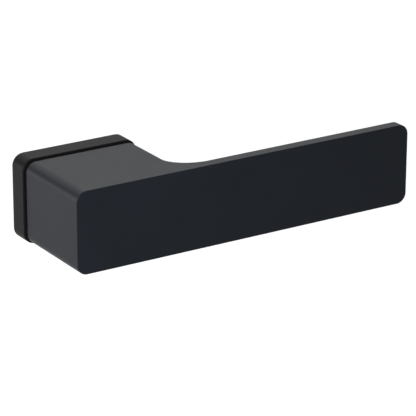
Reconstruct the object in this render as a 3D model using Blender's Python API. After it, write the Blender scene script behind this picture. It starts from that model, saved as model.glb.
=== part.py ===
"""Door lever handle: a hollow neck and flat grip that turn on a sprung rectangular rose.

Metres, +Z up. The origin lies on the spindle's axis at the door's face. +X runs along the lever to its
tip, and the handle stands out from the door towards -Y. Turning about +Y lowers the tip.
"""

import math

import bmesh
import bpy
from mathutils import Vector

# Lever, outside
NECK_WIDTH = 0.050
NECK_HEIGHT = 0.034
PROJECTION = 0.050
LEVER_REACH = 0.130
GRIP_THICKNESS = 0.005
CORNER_RADIUS = 0.0043
LEAST_EDGE_SOFTNESS = 0.02
INNER_FILLET = 0.0125
FRONT_CHAMFER = 0.0003
SHADOW_GAP = 0.0015

# Clearances
SEAT_GAP = 0.0003
SLIDE_GAP = 0.00015
COVER_CLEARANCE = 0.0005
HEAD_RECESS = 0.0001

# Rose cover and base
ROSE_OVERHANG = 0.0007
ROSE_CORNER_RADIUS = 0.0048
COVER_EDGE_RADIUS = 0.0005
COVER_WALL = 0.0016
COVER_FRONT_WALL = 0.0016
BASE_CORNER_RADIUS = 0.003
POCKET_FLOOR = 0.0013
FIXING_SPACING = 0.038
STUD_RADIUS = 0.0035
STUD_LENGTH = 0.004
CASSETTE_THICKNESS = 0.0008
CASSETTE_SIDE_RIM = 0.0026
CASSETTE_TOP_RIM = 0.0019
CASSETTE_CORNER = 0.002
CASSETTE_SCREW_INSET = 0.003
CLIP_WIDTH = 0.009
CLIP_THICKNESS = 0.00035
CLIP_NOTCH_DEPTH = 0.0013
CLIP_END_LENGTH = 0.0007

# Screws
FIXING_HEAD_RADIUS = 0.0033
FIXING_SHANK_RADIUS = 0.002
FIXING_SOCKET_RADIUS = 0.0013
SMALL_HEAD_RADIUS = 0.0023
SMALL_SHANK_RADIUS = 0.00125
SMALL_SOCKET_RADIUS = 0.0008
SMALL_SCREW_LENGTH = 0.0045
HEAD_RIM = 0.0002
SET_SCREW_RADIUS = 0.003
SET_SCREW_LENGTH = 0.008
SET_SCREW_SOCKET_RADIUS = 0.0017
SET_SCREW_SOCKET_DEPTH = 0.003
SET_SCREW_BLOCK = 0.010
SET_SCREW_SETBACK = 0.0148

# Spindle, collar, bush and washer
SPINDLE_SIDE = 0.008
SPINDLE_TAIL = 0.030
SPINDLE_CHAMFER = 0.0006
SPINDLE_GRIP = 0.0035
FLOOR_HOLE_CLEARANCE = 0.0006
COLLAR_BORE_CLEARANCE = 0.00025
COLLAR_WALL = 0.0021
COLLAR_INSERT = 0.0045
BUSH_WALL = 0.001
BUSH_FLANGE_WIDTH = 0.0023
BUSH_FLANGE_THICKNESS = 0.001
WASHER_INNER_CLEARANCE = 0.0006
WASHER_OUTER_CLEARANCE = 0.0005
WASHER_THICKNESS = 0.0003
WASHER_WAVES = 3

# Neck, inside
NECK_WALL = 0.0026
NECK_LIP = 0.0018
NECK_FLOOR = 0.0058
PLATE_RECESS = 0.0011
BACK_PLATE_THICKNESS = 0.0016
BOSS_WALL = 0.003
RIB_THICKNESS = 0.0024
BACK_SCREW_SPACING = 0.035
BACK_SCREW_BOSS_RADIUS = 0.003

# Return spring and its rotor. Angles are in degrees from +X towards +Z
TRAVEL = 45.0
STOP_GAP = 1.5
FINGER_ANGLE = 90.0
FINGER_HALF_ANGLE = 12.0
STOP_LAND_ANGLE = 26.0
FIXED_LEG_ANGLE = 255.0
WIRE_RADIUS = 0.0005
COIL_TURN_GAP = 0.0001
COIL_INNER_CLEARANCE = 0.0008
COIL_OUTER_CLEARANCE = 0.0005
COIL_FRONT_CLEARANCE = 0.00045
ROTOR_HUB_WALL = 0.00135
ROTOR_FLANGE_THICKNESS = 0.0007
FINGER_CLEARANCE = 0.0002
FINGER_THICKNESS = 0.0019
POCKET_CLEARANCE = 0.0006

# Smoothness of round shapes
SIDES = 48
SMALL_SIDES = 24
WIRE_SIDES = 8
FIRST_CORNER_SHARE = 0.3
CORNER_STEPS = 8
FILLET_STEPS = 16
TURN_STEPS = 40
LAND_STEPS = 4
POCKET_STEP_ANGLE = 8.0

# Radii round the spindle's axis
SPINDLE_REACH = SPINDLE_SIDE / math.sqrt(2)
COLLAR_BORE = SPINDLE_REACH + COLLAR_BORE_CLEARANCE
COLLAR_RADIUS = COLLAR_BORE + COLLAR_WALL
BUSH_INNER_RADIUS = COLLAR_RADIUS + SLIDE_GAP
BUSH_OUTER_RADIUS = BUSH_INNER_RADIUS + BUSH_WALL
BUSH_FLANGE_RADIUS = BUSH_OUTER_RADIUS + BUSH_FLANGE_WIDTH
WASHER_INNER_RADIUS = COLLAR_RADIUS + WASHER_INNER_CLEARANCE
WASHER_OUTER_RADIUS = BUSH_FLANGE_RADIUS - WASHER_OUTER_CLEARANCE
BOSS_RADIUS = COLLAR_RADIUS + BOSS_WALL
ROTOR_HUB_RADIUS = SPINDLE_REACH + ROTOR_HUB_WALL
COIL_RADIUS = ROTOR_HUB_RADIUS + COIL_INNER_CLEARANCE + WIRE_RADIUS
ROTOR_FLANGE_RADIUS = COIL_RADIUS + WIRE_RADIUS
LAND_RADIUS = COIL_RADIUS + WIRE_RADIUS + COIL_OUTER_CLEARANCE
FINGER_INNER_RADIUS = LAND_RADIUS + FINGER_CLEARANCE
FINGER_OUTER_RADIUS = FINGER_INNER_RADIUS + FINGER_THICKNESS
POCKET_RADIUS = FINGER_OUTER_RADIUS + POCKET_CLEARANCE
LEG_END_RADIUS = FINGER_OUTER_RADIUS - FINGER_CLEARANCE
LEG_BEND_RADIUS = 2 * WIRE_RADIUS

# Where the spring's legs lie, and how far the wire winds between them
LEG_LEAD = math.degrees(math.asin(LEG_BEND_RADIUS / (COIL_RADIUS + LEG_BEND_RADIUS)))
LEG_HALF_ANGLE = math.degrees((WIRE_RADIUS + SEAT_GAP) / LAND_RADIUS)
MOVING_LEG_ANGLE = FINGER_ANGLE - FINGER_HALF_ANGLE - LEG_HALF_ANGLE
COIL_START_ANGLE = FIXED_LEG_ANGLE - LEG_LEAD
COIL_END_ANGLE = MOVING_LEG_ANGLE + LEG_LEAD - 360.0
COIL_TURNS = (COIL_START_ANGLE - COIL_END_ANGLE) / 360.0
COIL_RISE = COIL_TURNS * (2 * WIRE_RADIUS + COIL_TURN_GAP)

# Places along Y, stacked up from the door's face outwards
ROTOR_BACK = -POCKET_FLOOR - SEAT_GAP
COIL_BACK = ROTOR_BACK - WIRE_RADIUS
COIL_FRONT = COIL_BACK - COIL_RISE
ROTOR_FLANGE_BACK = COIL_FRONT - WIRE_RADIUS - COIL_FRONT_CLEARANCE
ROTOR_FRONT = ROTOR_FLANGE_BACK - ROTOR_FLANGE_THICKNESS
BASE_FRONT = ROTOR_FRONT - SEAT_GAP
CASSETTE_BACK = BASE_FRONT - SEAT_GAP
CASSETTE_FRONT = CASSETTE_BACK - CASSETTE_THICKNESS
COVER_INNER = CASSETTE_FRONT - SEAT_GAP - HEAD_RECESS
COVER_FRONT = COVER_INNER - COVER_FRONT_WALL
BUSH_BACK = CASSETTE_BACK - HEAD_RECESS
BUSH_FLANGE_BACK = COVER_FRONT - SEAT_GAP
BUSH_FLANGE_FRONT = BUSH_FLANGE_BACK - BUSH_FLANGE_THICKNESS
NECK_BACK = COVER_FRONT - SHADOW_GAP
BACK_PLATE_BACK = NECK_BACK - PLATE_RECESS
BACK_PLATE_FRONT = BACK_PLATE_BACK - BACK_PLATE_THICKNESS
NECK_LEDGE = BACK_PLATE_FRONT - SEAT_GAP
COLLAR_FRONT = NECK_LEDGE - COLLAR_INSERT
GRIP_FRONT = -PROJECTION
GRIP_BACK = GRIP_FRONT + GRIP_THICKNESS
CAVITY_END = GRIP_FRONT + NECK_FLOOR
SPINDLE_FRONT = CAVITY_END + SPINDLE_GRIP
SPINDLE_HOLE_END = SPINDLE_FRONT - SEAT_GAP
SET_SCREW_Y = BACK_PLATE_BACK - SET_SCREW_SETBACK

# Outlines across the Y axis
ROSE_WIDTH = NECK_WIDTH + 2 * ROSE_OVERHANG
ROSE_HEIGHT = NECK_HEIGHT + 2 * ROSE_OVERHANG
INNER_WIDTH = ROSE_WIDTH - 2 * COVER_WALL
INNER_HEIGHT = ROSE_HEIGHT - 2 * COVER_WALL
BASE_WIDTH = INNER_WIDTH - 2 * COVER_CLEARANCE
BASE_HEIGHT = INNER_HEIGHT - 2 * COVER_CLEARANCE
CASSETTE_WIDTH = 2 * (POCKET_RADIUS + CASSETTE_SIDE_RIM)
CASSETTE_HEIGHT = 2 * (POCKET_RADIUS + CASSETTE_TOP_RIM)
REACH = 0.010  # how far a cutter runs past the face it opens


def surface(name, colour, roughness, metallic):
    material = bpy.data.materials.new(name)
    material.use_nodes = True
    shader = material.node_tree.nodes["Principled BSDF"]
    shader.inputs["Base Color"].default_value = (*colour, 1.0)
    shader.inputs["Roughness"].default_value = roughness
    shader.inputs["Metallic"].default_value = metallic
    return material


# Mesh building


def box(width, height, back, front, radius=0.0, steps=CORNER_STEPS):
    """A box along Y round the axis, with its four long edges rounded."""
    mesh = bmesh.new()
    bmesh.ops.create_cube(mesh, size=1.0)
    bmesh.ops.scale(mesh, vec=(width, back - front, height), verts=mesh.verts)
    bmesh.ops.translate(mesh, vec=(0.0, (back + front) / 2, 0.0), verts=mesh.verts)
    if radius:
        long_edges = [edge for edge in mesh.edges if is_along_y(edge)]
        round_edges(mesh, long_edges, radius, steps)
    return mesh


def is_along_y(edge):
    start, end = edge.verts
    run = end.co - start.co
    return abs(run.y) > 0.999 * run.length


def lies_at(edge, y):
    return all(abs(vert.co.y - y) < 1e-6 for vert in edge.verts)


def round_edges(mesh, edges, radius, steps):
    bmesh.ops.bevel(
        mesh, geom=edges, offset=radius, offset_type="OFFSET", segments=steps, profile=0.5, affect="EDGES"
    )


def turned(profile, sides, closed=True):
    """A profile of (radius, y) points turned about the Y axis. An open one starts and ends on the axis.

    The first corner lies off the X axis, so that no edge of one round shape runs through another's corner.
    """
    mesh = bmesh.new()
    across = math.cos(FIRST_CORNER_SHARE * math.tau / sides)
    up = math.sin(FIRST_CORNER_SHARE * math.tau / sides)
    verts = [mesh.verts.new((radius * across, y, radius * up)) for radius, y in profile]
    edges = [mesh.edges.new(pair) for pair in zip(verts, verts[1:])]
    if closed:
        edges.append(mesh.edges.new((verts[-1], verts[0])))
    bmesh.ops.spin(
        mesh,
        geom=verts + edges,
        cent=(0, 0, 0),
        axis=(0, 1, 0),
        angle=math.tau,
        steps=sides,
        use_merge=True,
    )
    bmesh.ops.remove_doubles(mesh, verts=mesh.verts, dist=1e-7)
    return mesh


def cylinder(radius, back, front, sides=SIDES):
    return turned([(0.0, back), (radius, back), (radius, front), (0.0, front)], sides, closed=False)


def ring(inner, outer, back, front, sides=SIDES):
    return turned([(inner, back), (outer, back), (outer, front), (inner, front)], sides)


def prism(outline, back, front):
    """An outline of (x, z) points as a solid along Y."""
    mesh = bmesh.new()
    face = mesh.faces.new([mesh.verts.new((x, back, z)) for x, z in outline])
    extrude(mesh, face, (0.0, front - back, 0.0))
    return mesh


def extrude(mesh, face, run):
    grown = bmesh.ops.extrude_face_region(mesh, geom=[face])["geom"]
    verts = [item for item in grown if isinstance(item, bmesh.types.BMVert)]
    bmesh.ops.translate(mesh, vec=run, verts=verts)


def polar(radius, degrees):
    angle = math.radians(degrees)
    return radius * math.cos(angle), radius * math.sin(angle)


def arc(radius, start, end, steps):
    return [polar(radius, start + (end - start) * step / steps) for step in range(steps + 1)]


def swept(profile, centre, half_angle, steps=6):
    """A closed profile of (radius, y) points swept round the Y axis through part of a turn."""
    mesh = bmesh.new()
    rings = []
    for step in range(steps + 1):
        degrees = centre + half_angle * (2 * step / steps - 1)
        corners = [(*polar(radius, degrees), y) for radius, y in profile]
        rings.append([mesh.verts.new((x, y, z)) for x, z, y in corners])
    mesh.faces.new(rings[0])
    mesh.faces.new(list(reversed(rings[-1])))
    for here, there in zip(rings, rings[1:]):
        for corner in range(len(profile)):
            following = (corner + 1) % len(profile)
            mesh.faces.new((here[corner], there[corner], there[following], here[following]))
    return mesh


# Objects


def add(name, mesh, material, parent=None, place=(0.0, 0.0, 0.0)):
    mesh.normal_update()
    bmesh.ops.recalc_face_normals(mesh, faces=mesh.faces)
    data = bpy.data.meshes.new(name)
    mesh.to_mesh(data)
    mesh.free()
    data.materials.append(material)
    body = bpy.data.objects.new(name, data)
    bpy.context.scene.collection.objects.link(body)
    body.location = place
    body.parent = parent
    return body


def copy_of(name, source, parent, place):
    body = bpy.data.objects.new(name, source.data)
    bpy.context.scene.collection.objects.link(body)
    body.location = place
    body.parent = parent
    return body


def apply_modifiers(body):
    bpy.context.view_layer.update()
    evaluated = body.evaluated_get(bpy.context.evaluated_depsgraph_get())
    data = bpy.data.meshes.new_from_object(evaluated)
    data.name = body.name
    body.modifiers.clear()
    body.data = data


def combine(body, mesh, operation, place=(0.0, 0.0, 0.0), solver="EXACT"):
    """Cut a mesh from a body or join it on, and leave one solid."""
    tool = add(body.name + "_tool", mesh, body.data.materials[0], body.parent, place)
    step = body.modifiers.new(operation.title(), "BOOLEAN")
    step.operation = operation
    step.solver = solver
    step.object = tool
    apply_modifiers(body)
    bpy.data.objects.remove(tool)


def cut(body, mesh, place=(0.0, 0.0, 0.0), solver="EXACT"):
    combine(body, mesh, "DIFFERENCE", place, solver)


def join(body, mesh, place=(0.0, 0.0, 0.0), solver="EXACT"):
    combine(body, mesh, "UNION", place, solver)


def shade(body, degrees=35.0):
    body.data.shade_smooth()
    body.data.set_sharp_from_angle(angle=math.radians(degrees))


# Screws


def csk_screw(name, sizes, material, parent, place):
    """A countersunk screw, its head's flat at Y = 0 and its shank along +Y."""
    head_radius, shank_radius, length, socket_radius = sizes
    cone = head_radius - shank_radius
    profile = [
        (0.0, 0.0),
        (head_radius, 0.0),
        (head_radius, HEAD_RIM),
        (shank_radius, HEAD_RIM + cone),
        (shank_radius, length - shank_radius / 3),
        (shank_radius * 2 / 3, length),
        (0.0, length),
    ]
    body = add(name, turned(profile, SMALL_SIDES, closed=False), material, parent, place)
    cut(body, cylinder(socket_radius, socket_radius, -REACH, sides=6), place)
    shade(body)
    return body


def csk_hole(head_radius, shank_radius, length):
    """The cutter for a countersunk screw: its hole is wider all round by the seat's gap."""
    head = head_radius + SLIDE_GAP
    shank = shank_radius + SLIDE_GAP
    profile = [
        (0.0, -REACH),
        (head, -REACH),
        (head, HEAD_RIM + SLIDE_GAP),
        (shank, HEAD_RIM + SLIDE_GAP + head - shank),
        (shank, length),
        (0.0, length),
    ]
    return turned(profile, SMALL_SIDES, closed=False)


# Rose


def build_base(material, parent):
    """The base is cut with the manifold solver, because the exact one leaves open edges at its notches."""
    block = box(BASE_WIDTH, BASE_HEIGHT, 0.0, BASE_FRONT, BASE_CORNER_RADIUS)
    body = add("mounting_base", block, material, parent)
    cut(body, prism(pocket_outline(), -POCKET_FLOOR, BASE_FRONT - REACH), solver="MANIFOLD")
    step_floor = COIL_FRONT + WIRE_RADIUS + SEAT_GAP
    cut(body, prism(leg_step_outline(), step_floor, BASE_FRONT - REACH), solver="MANIFOLD")
    floor_hole = cylinder(SPINDLE_REACH + FLOOR_HOLE_CLEARANCE, REACH, -POCKET_FLOOR - SEAT_GAP)
    cut(body, floor_hole, solver="MANIFOLD")
    for side in (-1, 1):
        x = side * FIXING_SPACING / 2
        stud = cylinder(STUD_RADIUS, STUD_LENGTH, -POCKET_FLOOR, SMALL_SIDES)
        join(body, stud, (x, 0.0, 0.0), "MANIFOLD")
        hole = csk_hole(FIXING_HEAD_RADIUS, FIXING_SHANK_RADIUS, STUD_LENGTH + REACH)
        cut(body, hole, (x, BASE_FRONT + HEAD_RECESS, 0.0), "MANIFOLD")
        notch_back = -POCKET_FLOOR + SEAT_GAP
        notch = box(CLIP_WIDTH + 2 * SEAT_GAP, 2 * CLIP_NOTCH_DEPTH, notch_back, BASE_FRONT - REACH)
        cut(body, notch, (0.0, 0.0, side * BASE_HEIGHT / 2), "MANIFOLD")
    hole_end = CASSETTE_FRONT + SMALL_SCREW_LENGTH + SEAT_GAP
    for x, z in cassette_screw_places():
        hole = cylinder(SMALL_SHANK_RADIUS + SEAT_GAP, hole_end, BASE_FRONT - REACH, SMALL_SIDES)
        cut(body, hole, (x, 0.0, z), "MANIFOLD")
    shade(body)


def pocket_outline():
    """The spring pocket: a round room with three lands that stand in from its wall."""
    finger_end = FINGER_ANGLE + FINGER_HALF_ANGLE + STOP_GAP
    travel_end = FINGER_ANGLE - TRAVEL - FINGER_HALF_ANGLE - STOP_GAP
    leg_end = FIXED_LEG_ANGLE - LEG_HALF_ANGLE
    lands = [
        (travel_end - STOP_LAND_ANGLE, travel_end),
        (finger_end, finger_end + STOP_LAND_ANGLE),
        (leg_end - STOP_LAND_ANGLE, leg_end),
    ]
    outline = []
    for number, (start, end) in enumerate(lands):
        following = lands[(number + 1) % len(lands)][0]
        if number == len(lands) - 1:
            following += 360.0
        outline += arc(LAND_RADIUS, start, end, LAND_STEPS)
        outline += arc(POCKET_RADIUS, end, following, round((following - end) / POCKET_STEP_ANGLE))
    return outline


def leg_step_outline():
    """The step in the travel stop's front, where the spring's moving leg lies at the end of the travel."""
    start = MOVING_LEG_ANGLE - TRAVEL - LEG_HALF_ANGLE - STOP_GAP
    end = FINGER_ANGLE - TRAVEL - FINGER_HALF_ANGLE
    steps = round((end - start) / POCKET_STEP_ANGLE)
    outer = arc(FINGER_OUTER_RADIUS + FINGER_CLEARANCE, start, end, steps)
    return outer + arc(LAND_RADIUS - SEAT_GAP, end, start, steps)


def cassette_screw_places():
    x = CASSETTE_WIDTH / 2 - CASSETTE_SCREW_INSET
    z = CASSETTE_HEIGHT / 2 - CASSETTE_SCREW_INSET
    return [(-x, -z), (x, -z), (x, z), (-x, z)]


def build_cover(material, parent):
    shell = box(ROSE_WIDTH, ROSE_HEIGHT, 0.0, COVER_FRONT, ROSE_CORNER_RADIUS)
    round_edges(shell, [edge for edge in shell.edges if lies_at(edge, COVER_FRONT)], COVER_EDGE_RADIUS, 2)
    body = add("rose_cover", shell, material, parent)
    cut(body, box(INNER_WIDTH, INNER_HEIGHT, REACH, COVER_INNER, ROSE_CORNER_RADIUS - COVER_WALL))
    cut(body, cylinder(BUSH_OUTER_RADIUS + SEAT_GAP, 0.0, COVER_FRONT - REACH))
    shade(body)


def build_cassette_plate(material, parent):
    blank = box(CASSETTE_WIDTH, CASSETTE_HEIGHT, CASSETTE_BACK, CASSETTE_FRONT, CASSETTE_CORNER)
    body = add("cassette_plate", blank, material, parent)
    cut(body, cylinder(BUSH_OUTER_RADIUS + SLIDE_GAP, REACH, CASSETTE_FRONT - REACH))
    for x, z in cassette_screw_places():
        cut(body, csk_hole(SMALL_HEAD_RADIUS, SMALL_SHANK_RADIUS, REACH), (x, CASSETTE_FRONT, z))
    shade(body)


def build_bush(material, parent):
    profile = [
        (BUSH_INNER_RADIUS, BUSH_BACK),
        (BUSH_OUTER_RADIUS, BUSH_BACK),
        (BUSH_OUTER_RADIUS, BUSH_FLANGE_BACK),
        (BUSH_FLANGE_RADIUS, BUSH_FLANGE_BACK),
        (BUSH_FLANGE_RADIUS, BUSH_FLANGE_FRONT),
        (BUSH_INNER_RADIUS, BUSH_FLANGE_FRONT),
    ]
    shade(add("bearing_bush", turned(profile, SIDES), material, parent))


def build_cassette_screws(material, parent):
    sizes = (SMALL_HEAD_RADIUS, SMALL_SHANK_RADIUS, SMALL_SCREW_LENGTH, SMALL_SOCKET_RADIUS)
    places = [(x, CASSETTE_FRONT + HEAD_RECESS / 2, z) for x, z in cassette_screw_places()]
    first = csk_screw("cassette_screw_1", sizes, material, parent, places[0])
    for number, place in enumerate(places[1:], 2):
        copy_of(f"cassette_screw_{number}", first, parent, place)


def build_fixing_screws(material, parent):
    sizes = (FIXING_HEAD_RADIUS, FIXING_SHANK_RADIUS, STUD_LENGTH - BASE_FRONT, FIXING_SOCKET_RADIUS)
    place = (-FIXING_SPACING / 2, BASE_FRONT + HEAD_RECESS, 0.0)
    left = csk_screw("fixing_screw_left", sizes, material, parent, place)
    copy_of("fixing_screw_right", left, parent, (-place[0], place[1], 0.0))


def build_clips(material, parent):
    """Two bowed strips in the base's notches, which press on the cover's top and bottom walls."""
    seat = BASE_HEIGHT / 2 - CLIP_NOTCH_DEPTH + SEAT_GAP
    crown = INNER_HEIGHT / 2 - SEAT_GAP - CLIP_THICKNESS
    back = -POCKET_FLOOR - HEAD_RECESS
    front = BASE_FRONT + HEAD_RECESS
    middle = (back + front) / 2
    path = [
        (back, seat),
        (back - CLIP_END_LENGTH, seat),
        (middle + CLIP_END_LENGTH / 2, crown),
        (middle - CLIP_END_LENGTH / 2, crown),
        (front + CLIP_END_LENGTH, seat),
        (front, seat),
    ]
    outline = path + [(y, z + CLIP_THICKNESS) for y, z in reversed(path)]
    for name, side in (("cover_clip_top", 1), ("cover_clip_bottom", -1)):
        mesh = bmesh.new()
        face = mesh.faces.new([mesh.verts.new((-CLIP_WIDTH / 2, y, side * z)) for y, z in outline])
        extrude(mesh, face, (CLIP_WIDTH, 0.0, 0.0))
        add(name, mesh, material, parent)


# Spring and rotor


def build_rotor(material, parent):
    """A hub with a flange in front of the coil. The flange carries the finger that winds the spring."""
    step = ROTOR_FLANGE_THICKNESS / 6
    inner = ROTOR_FLANGE_RADIUS - ROTOR_FLANGE_THICKNESS
    disc = cylinder(ROTOR_FLANGE_RADIUS, ROTOR_FLANGE_BACK, ROTOR_FRONT)
    body = add("spring_rotor", disc, material, parent)
    finger = [
        (inner, ROTOR_FRONT + 2 * step),
        (FINGER_OUTER_RADIUS, ROTOR_FRONT + 2 * step),
        (FINGER_OUTER_RADIUS, ROTOR_BACK),
        (FINGER_INNER_RADIUS, ROTOR_BACK),
        (FINGER_INNER_RADIUS, ROTOR_FLANGE_BACK - step),
        (inner, ROTOR_FLANGE_BACK - step),
    ]
    join(body, swept(finger, FINGER_ANGLE, FINGER_HALF_ANGLE))
    join(body, cylinder(ROTOR_HUB_RADIUS, ROTOR_BACK, ROTOR_FRONT + step))
    side = SPINDLE_SIDE + 2 * SLIDE_GAP
    cut(body, box(side, side, REACH, ROTOR_FRONT - REACH))
    shade(body)


def spring_path():
    """Points along the wire: the fixed leg, the coil wound clockwise about the axis, and the moving leg."""
    steps = round(COIL_TURNS * TURN_STEPS)
    path = leg_path(FIXED_LEG_ANGLE, -1, COIL_BACK)
    for step in range(1, steps):
        share = step / steps
        x, z = polar(COIL_RADIUS, COIL_START_ANGLE + (COIL_END_ANGLE - COIL_START_ANGLE) * share)
        path.append((x, COIL_BACK - COIL_RISE * share, z))
    path += reversed(leg_path(MOVING_LEG_ANGLE, 1, COIL_FRONT))
    return path


def leg_path(angle, side, y):
    """From a leg's outer end to the coil, with a bend. side is 1 if the coil lies anticlockwise of it."""
    bend_centre = COIL_RADIUS + LEG_BEND_RADIUS
    lead = math.radians(LEG_LEAD)
    points = [(LEG_END_RADIUS, 0.0)]
    steps = 4
    for step in range(steps + 1):
        swing = (math.pi / 2 + lead) * step / steps
        inward = bend_centre * math.cos(lead) - LEG_BEND_RADIUS * math.sin(swing)
        across = LEG_BEND_RADIUS * (1 - math.cos(swing))
        points.append((inward, across * side))
    heading = math.radians(angle)
    outward = Vector((math.cos(heading), 0.0, math.sin(heading)))
    sideways = Vector((-math.sin(heading), 0.0, math.cos(heading)))
    path = [outward * along + sideways * across + Vector((0.0, y, 0.0)) for along, across in points]
    return [tuple(point) for point in path]


def build_spring(material, parent):
    curve = bpy.data.curves.new("return_spring", "CURVE")
    curve.dimensions = "3D"
    curve.bevel_depth = WIRE_RADIUS
    curve.bevel_resolution = WIRE_SIDES // 2 - 2
    curve.use_fill_caps = True
    path = spring_path()
    spline = curve.splines.new("POLY")
    spline.points.add(len(path) - 1)
    for point, place in zip(spline.points, path):
        point.co = (*place, 1.0)
    curve.materials.append(material)
    body = bpy.data.objects.new("return_spring", curve)
    bpy.context.scene.collection.objects.link(body)
    body.parent = parent


# Lever


def lever_plan():
    """The lever seen from above, as (x, y): neck, inner fillet and flat grip."""
    half = NECK_WIDTH / 2
    centre_x = half + INNER_FILLET
    centre_y = GRIP_BACK + INNER_FILLET
    outline = [(-half, NECK_BACK), (-half, GRIP_FRONT), (LEVER_REACH, GRIP_FRONT), (LEVER_REACH, GRIP_BACK)]
    for x, y in arc(INNER_FILLET, 270.0, 180.0, FILLET_STEPS):
        outline.append((centre_x + x, centre_y + y))
    outline.append((half, NECK_BACK))
    return outline


def edge_softness(edge):
    """How much of the corner radius a long edge gets. It fades out round the inner fillet."""
    start, end = (vert.co for vert in edge.verts)
    if abs(start.z - end.z) > 1e-6:
        return 0.0
    half = NECK_WIDTH / 2
    middle = (start + end) / 2
    if abs(middle.x + half) < 1e-6 or abs(middle.x - LEVER_REACH) < 1e-6:
        return 1.0
    if abs(middle.x - half) < 1e-6:
        return 1.0
    if middle.x < half or middle.y > GRIP_BACK + INNER_FILLET or middle.y < GRIP_BACK + 1e-6:
        return 0.0
    swing = math.atan2(GRIP_BACK + INNER_FILLET - middle.y, half + INNER_FILLET - middle.x)
    share = swing / (math.pi / 2)
    return max(LEAST_EDGE_SOFTNESS, 1.0 - share * share * (3 - 2 * share))


def build_lever_shape(material, parent):
    mesh = bmesh.new()
    low = -NECK_HEIGHT / 2
    face = mesh.faces.new([mesh.verts.new((x, y, low)) for x, y in lever_plan()])
    extrude(mesh, face, (0.0, 0.0, NECK_HEIGHT))
    weight = mesh.edges.layers.float.new("bevel_weight_edge")
    for edge in mesh.edges:
        edge[weight] = edge_softness(edge)
    body = add("lever_body", mesh, material, parent)
    bevel = body.modifiers.new("Long edges", "BEVEL")
    bevel.limit_method = "WEIGHT"
    bevel.offset_type = "OFFSET"
    bevel.width = CORNER_RADIUS
    bevel.segments = CORNER_STEPS
    bevel.use_clamp_overlap = False
    apply_modifiers(body)
    mesh = bmesh.new()
    mesh.from_mesh(body.data)
    front_edges = [edge for edge in mesh.edges if lies_at(edge, GRIP_FRONT)]
    round_edges(mesh, front_edges, FRONT_CHAMFER, 1)
    mesh.to_mesh(body.data)
    mesh.free()
    return body


def neck_cavity(material, parent):
    """The hollow of the neck, less what stands in it: the spindle boss, its ribs and the screw bosses."""
    width = NECK_WIDTH - 2 * NECK_WALL
    height = NECK_HEIGHT - 2 * NECK_WALL
    hollow = add(
        "neck_hollow", box(width, height, 0.0, CAVITY_END, CORNER_RADIUS - NECK_WALL), material, parent
    )
    cut(hollow, cylinder(BOSS_RADIUS, REACH, CAVITY_END - REACH))
    cut(hollow, box(NECK_WIDTH, RIB_THICKNESS, REACH, CAVITY_END - REACH))
    cut(hollow, box(RIB_THICKNESS, NECK_HEIGHT, REACH, CAVITY_END - REACH))
    block = box(SET_SCREW_BLOCK, NECK_HEIGHT / 2, SET_SCREW_BLOCK / 2, -SET_SCREW_BLOCK / 2)
    cut(hollow, block, (0.0, SET_SCREW_Y, -NECK_HEIGHT / 4))
    for side in (-1, 1):
        post = cylinder(BACK_SCREW_BOSS_RADIUS, REACH, CAVITY_END - REACH, SMALL_SIDES)
        cut(hollow, post, (side * BACK_SCREW_SPACING / 2, 0.0, 0.0))
    return hollow


def build_lever(material, parent):
    body = build_lever_shape(material, parent)
    hollow = neck_cavity(material, parent)
    step = body.modifiers.new("Hollow", "BOOLEAN")
    step.solver = "EXACT"
    step.object = hollow
    apply_modifiers(body)
    bpy.data.objects.remove(hollow)
    lip_width = NECK_WIDTH - 2 * NECK_LIP
    lip_height = NECK_HEIGHT - 2 * NECK_LIP
    cut(body, box(lip_width, lip_height, REACH, NECK_LEDGE, CORNER_RADIUS - NECK_LIP))
    cut(body, cylinder(COLLAR_RADIUS + SLIDE_GAP, REACH, COLLAR_FRONT - SEAT_GAP))
    side = SPINDLE_SIDE + 2 * SLIDE_GAP
    cut(body, box(side, side, REACH, SPINDLE_HOLE_END))
    for direction in (-1, 1):
        hole_end = BACK_PLATE_FRONT - SMALL_SCREW_LENGTH
        hole = cylinder(SMALL_SHANK_RADIUS + SLIDE_GAP, REACH, hole_end, SMALL_SIDES)
        cut(body, hole, (direction * BACK_SCREW_SPACING / 2, 0.0, 0.0))
    cut(body, set_screw_hole())
    shade(body)


def set_screw_hole():
    """A hole from the neck's underside to the spindle's hole."""
    mesh = cylinder(SET_SCREW_RADIUS + SLIDE_GAP, NECK_HEIGHT / 2 + REACH, 0.0, SMALL_SIDES)
    stand_down(mesh.verts)
    return mesh


def stand_down(verts):
    """Turn what lies along +Y so that it points down at the set screw's place."""
    for vert in verts:
        vert.co = Vector((vert.co.x, SET_SCREW_Y + vert.co.z, -vert.co.y))


def build_set_screw(material, parent):
    tip = SPINDLE_SIDE / 2 + SEAT_GAP
    profile = [
        (0.0, 0.0),
        (SET_SCREW_RADIUS / 2, 0.0),
        (SET_SCREW_RADIUS, SET_SCREW_RADIUS / 2),
        (SET_SCREW_RADIUS, SET_SCREW_LENGTH),
        (0.0, SET_SCREW_LENGTH),
    ]
    body = add("set_screw", turned(profile, SMALL_SIDES, closed=False), material, parent)
    socket_end = SET_SCREW_LENGTH - SET_SCREW_SOCKET_DEPTH
    cut(body, cylinder(SET_SCREW_SOCKET_RADIUS, SET_SCREW_LENGTH + REACH, socket_end, sides=6))
    stand_down(body.data.vertices)
    body.location.z = -tip
    shade(body)


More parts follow.
